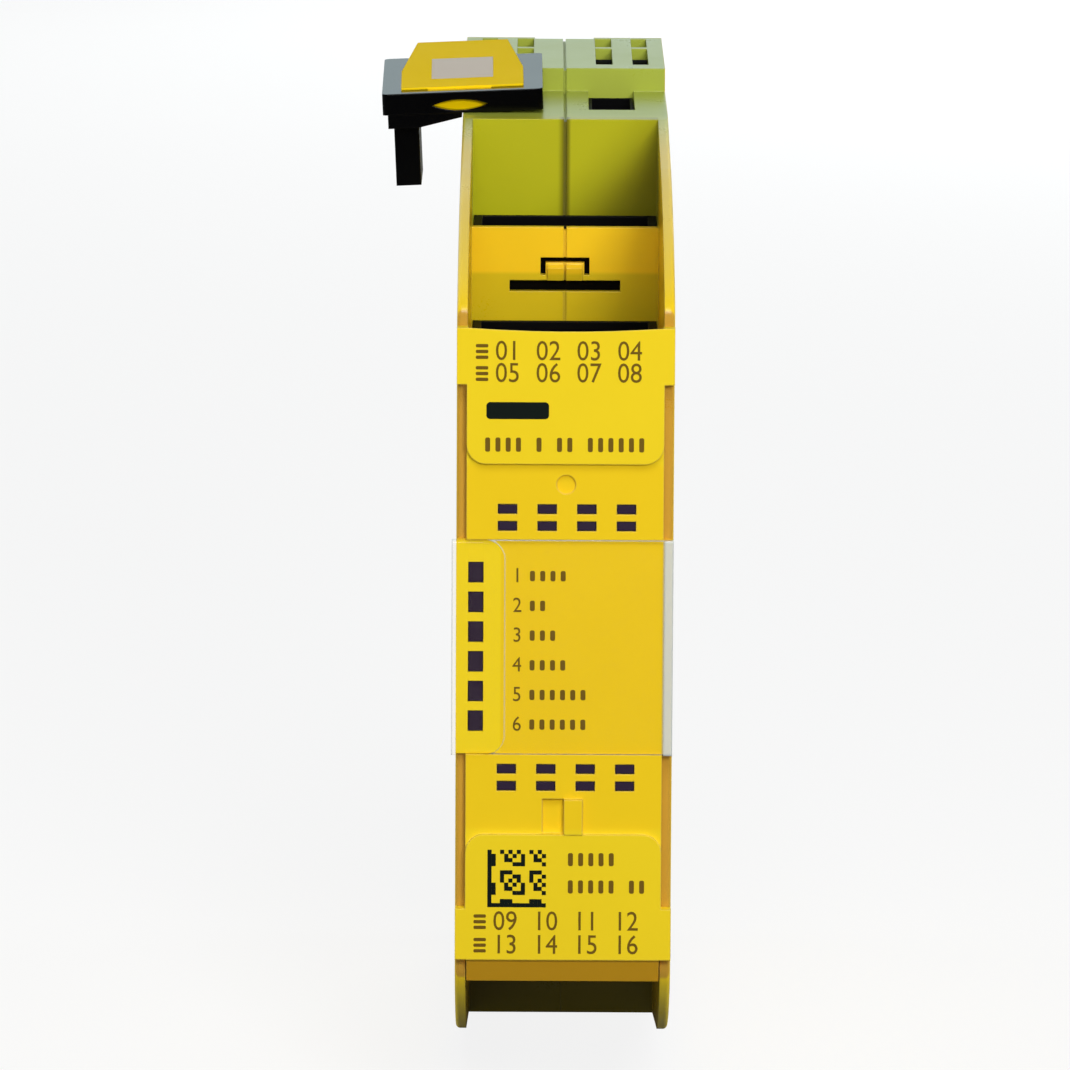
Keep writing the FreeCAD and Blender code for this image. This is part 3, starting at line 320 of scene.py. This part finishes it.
def metal(name, colour, rough):
    """Plain metal with fine rubbed marks."""
    material, tree, output = fresh(name)
    stretched = add(tree, "Mapping", {"Vector": object_place(tree), "Scale": RUB_STRETCH})
    rubbed = noise(tree, stretched.outputs[0], RUB_SCALE, RUB_DETAIL)
    bump = add(tree, "Bump", {"Strength": RUB_STRENGTH, "Distance": RUB_HEIGHT * MM,
                              "Height": rubbed, "Normal": soft_edge(tree, METAL_EDGE)})
    shine = math_node(tree, "MULTIPLY_ADD", rubbed, RUB_GLOSS, rough - RUB_GLOSS / 2.0)
    shader = add(tree, "BsdfPrincipled", {"Base Color": colour, "Metallic": 1.0,
                                          "Roughness": shine, "Normal": bump.outputs[0]})
    tree.links.new(shader.outputs[0], output.inputs[0])
    return material


# name: colour, roughness, grain, and what differs from the usual plastic
PLASTICS = {
    "housing_yellow": (housing_paint, 0.27, 0.10, {"wear": 0.05}),
    "cover_yellow": (cover_paint, 0.48, 0.15, {"specular": 0.3}),
    "film_yellow": (cover_paint, 0.48, 0.1, {"edge": PRINT_EDGE, "wear": 0.0, "specular": 0.3}),
    "grip_yellow": (linear(255, 216, 6), 0.45, 0.08, {"wear": 0.04, "specular": 0.03}),
    "plug_black": (linear(3, 3, 4), 0.1, 0.06, {"wear": 0.0, "specular": 0.25}),
    "header_black": (linear(9, 9, 10), 0.6, 0.2, {"wear": 0.02, "specular": 0.08}),
    "latch_black": (linear(34, 34, 36), 0.45, 0.2, {"wear": 0.06}),
    "package_black": (linear(26, 26, 28), 0.55, 0.3, {"wear": 0.02}),
    "window_violet": (linear(40, 24, 50), 0.14, 0.03, {"wear": 0.0, "coat": 0.4}),
    "board_green": (linear(22, 92, 54), 0.35, 0.08, {"wear": 0.02}),
    "lamp_white": (linear(226, 226, 215), 0.3, 0.05, {}),
    "label_grey": (linear(214, 198, 182), 0.4, 0.08, {"wear": 0.02}),
    "ink": (linear(112, 86, 26), 0.5, 0.04, {"edge": PRINT_EDGE, "wear": 0.0, "specular": 0.2}),
    "dark_ink": (linear(16, 24, 20), 0.5, 0.04, {"edge": PRINT_EDGE, "wear": 0.0,
                                                 "specular": 0.2}),
}
# name: colour, roughness
METALS = {
    "tin": (linear(214, 212, 205), 0.3),
    "can": (linear(198, 200, 205), 0.35),
    "spring_steel": (linear(150, 150, 152), 0.3),
}
FINISH = {name: moulded(name, *values, **special)
          for name, (*values, special) in PLASTICS.items()}
FINISH["clear_cover"] = clear_plastic("clear_cover")
FINISH.update({name: metal(name, *values) for name, values in METALS.items()})

NODE_FINISH = {
    "left_half_shell": "housing_yellow", "right_half_shell": "housing_yellow",
    "front_cover": "cover_yellow", "window_cover": "clear_cover",
    "status_light_guide": "window_violet", "upper_light_guide": "window_violet",
    "lower_light_guide": "window_violet", "main_board": "board_green",
    "output_board": "board_green", "display_board": "board_green",
    "indicator_leds": "lamp_white", "capacitors": "can", "plug_body": "plug_black",
    "plug_cap": "grip_yellow", "plug_label": "label_grey", "plug_contacts": "tin",
    "rail_latch": "latch_black", "latch_spring": "spring_steel",
}


def finish_of(node):
    """The name of the material of a CAD node."""
    if node in NODE_FINISH:
        return NODE_FINISH[node]
    if node.startswith(("pins_", "link_contacts")):
        return "tin"
    if node.startswith(("header_", "link_socket")):
        return "header_black"
    return "package_black"


for node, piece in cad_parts.items():
    piece.data.materials.clear()
    piece.data.materials.append(FINISH[finish_of(node)])


# ---- print on the front ----------------------------------------------------
# Depths are of the middle of a print behind the front plane, levels are heights.
INK = 0.02
PAD_DEPTH, PANEL_DEPTH, FILM_DEPTH = 0.0, 0.88, 0.91
ROUND_STEP, SQUARE_STEP = 30.0, 90.0
NUMBER_NARROW, NUMBER_SMOOTH = 0.9, 4

ROW_LEVELS = (31.05, 28.75, -28.95, -31.45)
COLUMNS = -6.0 + 4.2 * np.arange(4)
ROW_SIZE = 2.9
DASH_START, DASH_END, DASH_HALF, DASH_PITCH = -9.3, -8.0, 0.18, 0.6
LETTER = 1.06
STROKE = 0.5 * LETTER
# start, strokes in each group, level, height
STROKE_ROWS = ((-8.3, (4, 1, 2, 6), 21.35, 1.5), (0.5, (5,), -22.3, 1.4),
               (0.5, (5, 2), -25.2, 1.4))
BAR, BAR_CORNER = (-8.2, -1.7, 24.0, 25.8), 0.5
BLOCK_CORNER = 0.1

STATUS_PITCH = 3.13
STATUS_LEVELS = 7.45 - STATUS_PITCH * np.arange(6)
WINDOW_LEVELS = 7.82 - STATUS_PITCH * np.arange(6)
STATUS_STROKES = (4, 2, 3, 4, 6, 6)
STATUS_NUMBER, STATUS_SIZE = -4.9, 2.2
STATUS_START, STATUS_TALL = -3.6, 1.1


def ride_as_print(piece, finish):
    """Link a print, give it its ink, and let it ride on the housing."""
    SCENE.collection.objects.link(piece)
    piece.data.materials.append(FINISH[finish])
    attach(piece, "housing")


def marks(name, spans, depth, finish, corner=0.8):
    """Flat printed marks with round corners, from rows of x start, x end, z start, z end.

    A point of an outline is the middle of its mark, plus the half size less the corner
    radius towards its quarter, plus the radius times the cosine and sine of its angle.
    """
    spans = np.asarray(spans, dtype=float) * MM
    middle = (spans[:, 0::2] + spans[:, 1::2]) / 2.0
    half = (spans[:, 1::2] - spans[:, 0::2]) / 2.0
    radius = corner * half.min(axis=1)[:, None, None]
    step = ROUND_STEP if corner else SQUARE_STEP
    angle = np.radians(np.arange(step / 2.0, 360.0, step))
    way = np.stack([np.cos(angle), np.sin(angle)], axis=1)[None]
    flat = middle[:, None] + np.sign(way) * (half[:, None] - radius) + radius * way
    count, corners = flat.shape[:2]
    levels = FRONT + (depth + np.array([-INK, INK])) * MM
    points = np.empty((count, 2, corners, 3))
    points[..., 0] = flat[:, None, :, 0]
    points[..., 1] = levels[None, :, None]
    points[..., 2] = flat[:, None, :, 1]
    first = np.arange(count)[:, None] * 2 * corners
    ring = np.arange(corners)
    following = (ring + 1) % corners
    caps = np.concatenate([first + ring, first + corners + ring[::-1]])
    walls = np.stack([ring, ring + corners, following + corners, following], axis=1)
    walls = (first[:, :, None] + walls[None]).reshape(-1, 4)
    mesh = bpy.data.meshes.new(name)
    mesh.from_pydata(points.reshape(-1, 3).tolist(), [], caps.tolist() + walls.tolist())
    ride_as_print(bpy.data.objects.new(name, mesh), finish)


def numbers(name, words, size, depth, finish):
    """Printed numbers, each made a mesh first and then stood up and moved to its place."""
    joined = bmesh.new()
    stand = Matrix.Rotation(math.pi / 2.0, 4, "X")
    for word, x, z in words:
        text = bpy.data.curves.new(name, "FONT")
        text.body = word
        text.size = size * MM
        text.align_x = "CENTER"
        text.align_y = "CENTER"
        text.extrude = INK * MM
        text.resolution_u = NUMBER_SMOOTH
        holder = bpy.data.objects.new(name, text)
        SCENE.collection.objects.link(holder)
        bpy.context.view_layer.update()
        flat = bpy.data.meshes.new_from_object(holder)
        bpy.data.objects.remove(holder)
        place = Matrix.Translation((x * MM, FRONT + depth * MM, z * MM))
        flat.transform(place @ stand @ Matrix.Diagonal((NUMBER_NARROW, 1.0, 1.0, 1.0)))
        joined.from_mesh(flat)
    mesh = bpy.data.meshes.new(name)
    joined.to_mesh(mesh)
    joined.free()
    ride_as_print(bpy.data.objects.new(name, mesh), finish)


def letters(start, counts, level, tall):
    """Rows for upright strokes in groups: each stroke stands one LETTER after the last."""
    gaps = np.repeat(np.arange(len(counts)), counts)
    left = start + (np.arange(sum(counts)) + gaps) * LETTER
    ends = [left, left + STROKE, 0 * left + level - tall / 2, 0 * left + level + tall / 2]
    return np.stack(ends, axis=1)


def dashes(level):
    """Rows for three short dashes, one over the other, at the left end of a row of numbers."""
    lift = level + DASH_PITCH * np.array([-1.0, 0.0, 1.0])
    ends = [0 * lift + DASH_START, 0 * lift + DASH_END, lift - DASH_HALF, lift + DASH_HALF]
    return np.stack(ends, axis=1)


def block_pattern(count=14, left=-7.87, top=-21.3, side=6.1):
    """Rows for small squares: dark where 3 i + 5 j + i j leaves under 3 when divided by 7.

    The left column and the bottom row are dark all along.
    """
    column, row = np.meshgrid(np.arange(count), np.arange(count))
    dark = (3 * column + 5 * row + column * row) % 7 < 3
    dark |= (column == 0) | (row == count - 1)
    step = side / count
    x = left + column[dark] * step
    z = top - row[dark] * step
    return np.stack([x, x + step, z - step, z], axis=1)


def film_pieces(half_width=11.24, half_height=11.28, left=-10.0, right=-8.4, half_window=1.1):
    """Rows for a film with six windows: two fields, and a bar over and under each window."""
    tops = np.concatenate([[half_height], WINDOW_LEVELS - half_window])
    bottoms = np.concatenate([WINDOW_LEVELS + half_window, [-half_height]])
    bars = np.stack([0 * tops + left, 0 * tops + right, bottoms, tops], axis=1)
    fields = [(-half_width, left, -half_height, half_height),
              (right, half_width, -half_height, half_height)]
    return np.concatenate([fields, bars])


def build_print():
    """Plain numbers, strokes and a block pattern where such a module carries its print."""
    words = [(f"{len(COLUMNS) * row + column + 1:02d}", COLUMNS[column], level)
             for row, level in enumerate(ROW_LEVELS) for column in range(len(COLUMNS))]
    numbers("terminal_numbers", words, ROW_SIZE, PAD_DEPTH, "ink")
    rows = [dashes(level) for level in ROW_LEVELS]
    marks("terminal_dashes", np.concatenate(rows), PAD_DEPTH, "ink")
    marks("plain_bar", [BAR], PAD_DEPTH, "dark_ink", BAR_CORNER)
    rows = [letters(*row) for row in STROKE_ROWS]
    marks("printed_strokes", np.concatenate(rows), PAD_DEPTH, "ink")
    marks("block_pattern", block_pattern(), PAD_DEPTH, "dark_ink", BLOCK_CORNER)
    marks("panel_film", film_pieces(), FILM_DEPTH, "film_yellow", 0.0)
    words = [(str(index + 1), STATUS_NUMBER, level) for index, level in enumerate(STATUS_LEVELS)]
    numbers("status_numbers", words, STATUS_SIZE, PANEL_DEPTH, "ink")
    rows = [letters(STATUS_START, (count,), level, STATUS_TALL)
            for count, level in zip(STATUS_STROKES, STATUS_LEVELS)]
    marks("status_strokes", np.concatenate(rows), PANEL_DEPTH, "ink")


# ---- stage, light and camera -----------------------------------------------
# Lengths in this section are in metres.
WHITE = (1.0, 1.0, 1.0, 1.0)
FLOOR_HALF, FLOOR_GAP = 6.0, 0.0005
FLOOR_SEEN, FLOOR_UNSEEN, FLOOR_GLOW = (0.9, 0.9, 0.9, 1.0), (0.14, 0.14, 0.14, 1.0), 0.85

# the world in reflections: white behind the object, dark in front and dimmer on the right
BEHIND, FRONT_MIRROR = (-0.2, 0.5), 0.05
LEFT, RIGHT_MIRROR = (0.6, 0.1), 0.3
FILL_LEVEL, FILL_TINT = 0.08, (0.80, 0.96, 1.0, 1.0)

# name: azimuth, elevation, distance, size, level, colour, and whether gloss mirrors it
LAMPS = {
    "key_lamp": (12.0, 20.0, 0.55, 0.10, 0.46, (1.0, 0.98, 0.94), False),
    "soft_lamp": (-6.0, 9.0, 0.60, 0.30, 0.18, (0.98, 1.0, 1.0), False),
    "top_lamp": (4.0, 52.0, 0.70, 0.30, 0.42, (1.0, 1.0, 1.0), True),
    "right_lamp": (100.0, 3.0, 1.0, 0.4, 0.65, (1.0, 1.0, 1.0), False),
    "left_lamp": (-100.0, 3.0, 1.0, 0.4, 0.65, (1.0, 1.0, 1.0), False),
    "rear_lamp": (165.0, 3.0, 1.2, 0.5, 0.7, (0.9, 0.98, 1.0), False),
}
LAMP_TARGET = Vector((0.0, FRONT + 0.0465, 0.0))

SENSOR, LENS, CLIP_START = 36.0, 292.92, 0.01
CAMERA_DOWN, CAMERA_ROLL = 9.5, 0.3
CAMERA_ACROSS, CAMERA_AWAY, CAMERA_UP = -0.0031, 0.88766, 0.16045


def straight_rays(tree, path):
    """1 for rays from the camera and for rays that pass through a material, else 0."""
    return math_node(tree, "MAXIMUM", path.outputs["Is Camera Ray"],
                     path.outputs["Is Transmission Ray"])


def stage_material():
    """White to the camera, and a dark grey to everything else."""
    material, tree, output = fresh("stage_white")
    seen = straight_rays(tree, add(tree, "LightPath"))
    shade = blend_colour(tree, seen, FLOOR_UNSEEN, FLOOR_SEEN)
    plain = add(tree, "BsdfDiffuse", {"Color": shade})
    white = add(tree, "Emission", {"Color": WHITE, "Strength": 1.0})
    share = math_node(tree, "MULTIPLY", seen, FLOOR_GLOW)
    both = add(tree, "MixShader", {0: share, 1: plain.outputs[0], 2: white.outputs[0]})
    tree.links.new(both.outputs[0], output.inputs[0])
    return material


def build_stage():
    """A wide pale floor just under the lowest point."""
    low = CAD_BOX[0].z - FLOOR_GAP
    ends = ((-1, -1), (1, -1), (1, 1), (-1, 1))
    mesh = bpy.data.meshes.new("floor")
    mesh.from_pydata([(FLOOR_HALF * x, FLOOR_HALF * y, low) for x, y in ends], [],
                     [(0, 1, 2, 3)])
    floor = bpy.data.objects.new("floor", mesh)
    SCENE.collection.objects.link(floor)
    floor.data.materials.append(stage_material())


def build_world():
    """A white surround: full to the camera, bright behind for gloss, a weak fill."""
    world = bpy.data.worlds.new("studio")
    SCENE.world = world
    world.use_nodes = True
    tree = world.node_tree
    tree.nodes.clear()
    path = add(tree, "LightPath")
    bright = straight_rays(tree, path)
    toward = add(tree, "SeparateXYZ", {0: add(tree, "TexCoord").outputs["Generated"]})
    behind = between(tree, toward.outputs["Y"], *BEHIND)
    mirrored = math_node(tree, "MULTIPLY_ADD", behind, 1.0 - FRONT_MIRROR, FRONT_MIRROR)
    left = between(tree, toward.outputs["X"], *LEFT)
    dimmer = math_node(tree, "MULTIPLY_ADD", left, 1.0 - RIGHT_MIRROR, RIGHT_MIRROR)
    mirrored = math_node(tree, "MULTIPLY", mirrored, dimmer)
    glossy = math_node(tree, "MULTIPLY", path.outputs["Is Glossy Ray"], mirrored)
    level = math_node(tree, "MAXIMUM", bright, glossy)
    level = math_node(tree, "MAXIMUM", level, FILL_LEVEL)
    tint = blend_colour(tree, bright, FILL_TINT, WHITE)
    back = add(tree, "Background", {"Color": tint, "Strength": level})
    output = add(tree, "OutputWorld")
    tree.links.new(back.outputs[0], output.inputs[0])


def lamp(name, azimuth, elevation, distance, size, level, colour, gloss):
    """A square soft lamp round the object: azimuth 0 in front, 90 on the right.

    Its power is level x pi^2 x distance^2, which gives a white sheet that faces it that level.
    """
    data = bpy.data.lights.new(name, "AREA")
    data.shape = "SQUARE"
    data.size = size
    data.energy = level * math.pi ** 2 * distance ** 2
    data.color = colour
    made = bpy.data.objects.new(name, data)
    made.visible_glossy = gloss
    SCENE.collection.objects.link(made)
    turn, rise = math.radians(azimuth), math.radians(elevation)
    away = Vector((math.sin(turn) * math.cos(rise), -math.cos(turn) * math.cos(rise),
                   math.sin(rise)))
    made.location = LAMP_TARGET + away * distance
    made.rotation_euler = (-away).to_track_quat("-Z", "Y").to_euler()


def build_camera():
    """The camera in front and a little above, with a long lens."""
    data = bpy.data.cameras.new("camera")
    data.sensor_width = SENSOR
    data.lens = LENS
    data.clip_start = CLIP_START
    made = bpy.data.objects.new("camera", data)
    SCENE.collection.objects.link(made)
    down = Matrix.Rotation(math.radians(90.0 - CAMERA_DOWN), 4, "X")
    roll = Matrix.Rotation(math.radians(CAMERA_ROLL), 4, "Z")
    place = Matrix.Translation((CAMERA_ACROSS, FRONT - CAMERA_AWAY, CAMERA_UP))
    made.matrix_world = place @ down @ roll
    SCENE.camera = made


build_print()
build_stage()
build_world()
for name, values in LAMPS.items():
    lamp(name, *values)
build_camera()
